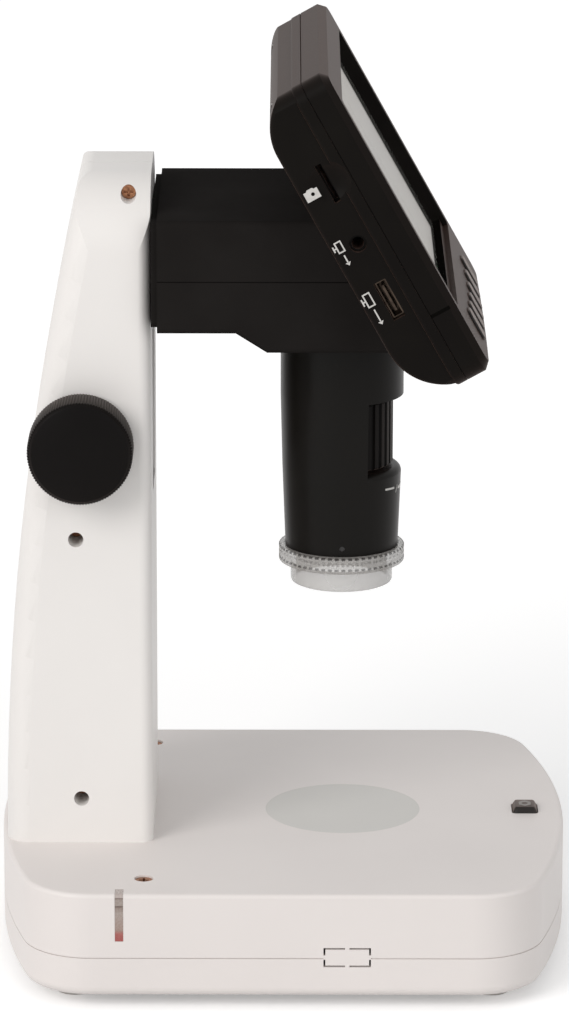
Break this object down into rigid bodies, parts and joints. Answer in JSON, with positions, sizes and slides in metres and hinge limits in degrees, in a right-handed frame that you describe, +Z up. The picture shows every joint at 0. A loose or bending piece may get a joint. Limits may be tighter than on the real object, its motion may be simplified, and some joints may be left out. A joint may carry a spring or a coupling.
{
  "type": "lcd digital microscope",
  "caption": "Desktop digital microscope: a tilted screen and a camera tube on an arm that slides on a column over a lit stage in a flat base.",
  "frame": {"origin": "on the table, under the middle of the base", "axes": "+Z up, +X across the width to the column's right half, -Y towards the user"},
  "size_m": [0.1606, 0.1716, 0.2764],
  "materials": {
    "white_abs": "satin moulded ABS",
    "black_abs": "satin moulded ABS",
    "knob_plastic": "ribbed satin ABS",
    "diffuser": "frosted acrylic",
    "clear_plastic": "clear moulded polycarbonate",
    "lcd_glass": "clear lens",
    "lcd_layer": "unlit screen",
    "circuit_board": "solder mask",
    "steel": "ground",
    "copper_screw": "copper-plated",
    "connector_metal": "tin-plated",
    "rubber": "moulded",
    "led_lens": "phosphor",
    "battery_wrap": "shrink wrap",
    "indicator_lens": "tinted light pipe",
    "gear_nylon": "moulded",
    "mount_metal": "zinc alloy, painted",
    "lens_glass": "coated",
    "key_plastic": "satin moulded",
    "ribbon_cable": "flat flex"
  },
  "bodies": {
    "stand": {"base_top_shell": "white_abs", "base_bottom_cover": "white_abs", "port_blanking_panel": "white_abs", "rubber_feet": "rubber", "base_cover_screws": "steel", "base_top_screws": "copper_screw", "stage_plate": "diffuser", "stage_light_board": "circuit_board", "stage_leds": "led_lens", "base_control_board": "circuit_board", "base_battery_pack": "battery_wrap", "ballast_plate": "steel", "charge_light_pipe": "indicator_lens", "dc_inlet": "black_abs", "column_left_half": "white_abs", "column_right_half": "white_abs", "column_side_screws": "copper_screw", "column_foot_screws": "steel", "guide_rods": "steel", "guide_rod_plates": "steel", "shaft_bushes": "gear_nylon"},
    "focus_knobs": {"focus_knob_left": "knob_plastic", "focus_knob_right": "knob_plastic", "pinion_shaft": "steel", "pinion": "gear_nylon"},
    "head": {"carriage": "mount_metal", "rack": "gear_nylon", "arm_mount_plate": "mount_metal", "arm_fixing_screws": "steel", "arm_upper_shell": "black_abs", "arm_lower_shell": "black_abs", "arm_screws": "steel", "display_rear_shell": "black_abs", "display_front_shell": "black_abs", "display_screws": "steel", "lcd_window": "lcd_glass", "lcd_panel": "lcd_layer", "main_board": "circuit_board", "card_socket": "connector_metal", "av_jack": "black_abs", "video_port": "connector_metal", "keypad_board": "circuit_board", "camera_tube": "black_abs", "tube_screws": "steel", "sensor_board": "circuit_board", "led_ring_board": "circuit_board", "ring_leds": "led_lens", "tube_set_screw": "steel", "camera_ribbon": "ribbon_cable"},
    "focus_wheel": {"focus_wheel": "knob_plastic"},
    "lens_barrel": {"lens_barrel": "mount_metal", "front_lens": "lens_glass"},
    "clear_cap": {"clear_cap": "clear_plastic"},
    "base_button": {"base_button": "key_plastic"},
    "menu_key_1": {"menu_key_1": "key_plastic"},
    "menu_key_2": {"menu_key_2": "key_plastic"},
    "menu_key_3": {"menu_key_3": "key_plastic"},
    "menu_key_4": {"menu_key_4": "key_plastic"},
    "menu_key_5": {"menu_key_5": "key_plastic"},
    "menu_key_6": {"menu_key_6": "key_plastic"}
  },
  "joints": [
    {"name": "head_slide", "type": "slide", "parent": "stand", "child": "head", "axis": [0, 0, 1], "range_m": [-0.058, 0.003]},
    {"name": "focus_knob_turn", "type": "hinge", "parent": "stand", "child": "focus_knobs", "pos_m": [0, 0.06, 0.1606], "axis": [1, 0, 0], "range_deg": [-30, 525]},
    {"name": "focus_wheel_turn", "type": "hinge", "parent": "head", "child": "focus_wheel", "pos_m": [0, -0.0175, 0.1571], "axis": [0, 0, 1], "range_deg": [-155, 155]},
    {"name": "lens_slide", "type": "slide", "parent": "head", "child": "lens_barrel", "axis": [0, 0, 1], "range_m": [-0.0025, 0.0025]},
    {"name": "cap_pull", "type": "slide", "parent": "head", "child": "clear_cap", "axis": [0, 0, 1], "range_m": [-0.01, 0]},
    {"name": "base_button_press", "type": "slide", "parent": "stand", "child": "base_button", "axis": [0, 0, -1], "range_m": [0, 0.0008], "stiffness_N_per_m": 400, "springref_m": -0.0008},
    {"name": "menu_key_1_press", "type": "slide", "parent": "head", "child": "menu_key_1", "axis": [0, 0.8729, -0.4879], "range_m": [0, 0.0004], "stiffness_N_per_m": 400, "springref_m": -0.0005},
    {"name": "menu_key_2_press", "type": "slide", "parent": "head", "child": "menu_key_2", "axis": [0, 0.8729, -0.4879], "range_m": [0, 0.0004], "stiffness_N_per_m": 400, "springref_m": -0.0005},
    {"name": "menu_key_3_press", "type": "slide", "parent": "head", "child": "menu_key_3", "axis": [0, 0.8729, -0.4879], "range_m": [0, 0.0004], "stiffness_N_per_m": 400, "springref_m": -0.0005},
    {"name": "menu_key_4_press", "type": "slide", "parent": "head", "child": "menu_key_4", "axis": [0, 0.8729, -0.4879], "range_m": [0, 0.0004], "stiffness_N_per_m": 400, "springref_m": -0.0005},
    {"name": "menu_key_5_press", "type": "slide", "parent": "head", "child": "menu_key_5", "axis": [0, 0.8729, -0.4879], "range_m": [0, 0.0004], "stiffness_N_per_m": 400, "springref_m": -0.0005},
    {"name": "menu_key_6_press", "type": "slide", "parent": "head", "child": "menu_key_6", "axis": [0, 0.8729, -0.4879], "range_m": [0, 0.0004], "stiffness_N_per_m": 400, "springref_m": -0.0005}
  ],
  "couplings": [
    {"joint": "focus_knob_turn", "follows": "head_slide", "rad_per_m": -156.25},
    {"joint": "focus_wheel_turn", "follows": "lens_slide", "rad_per_m": 1047.2}
  ]
}
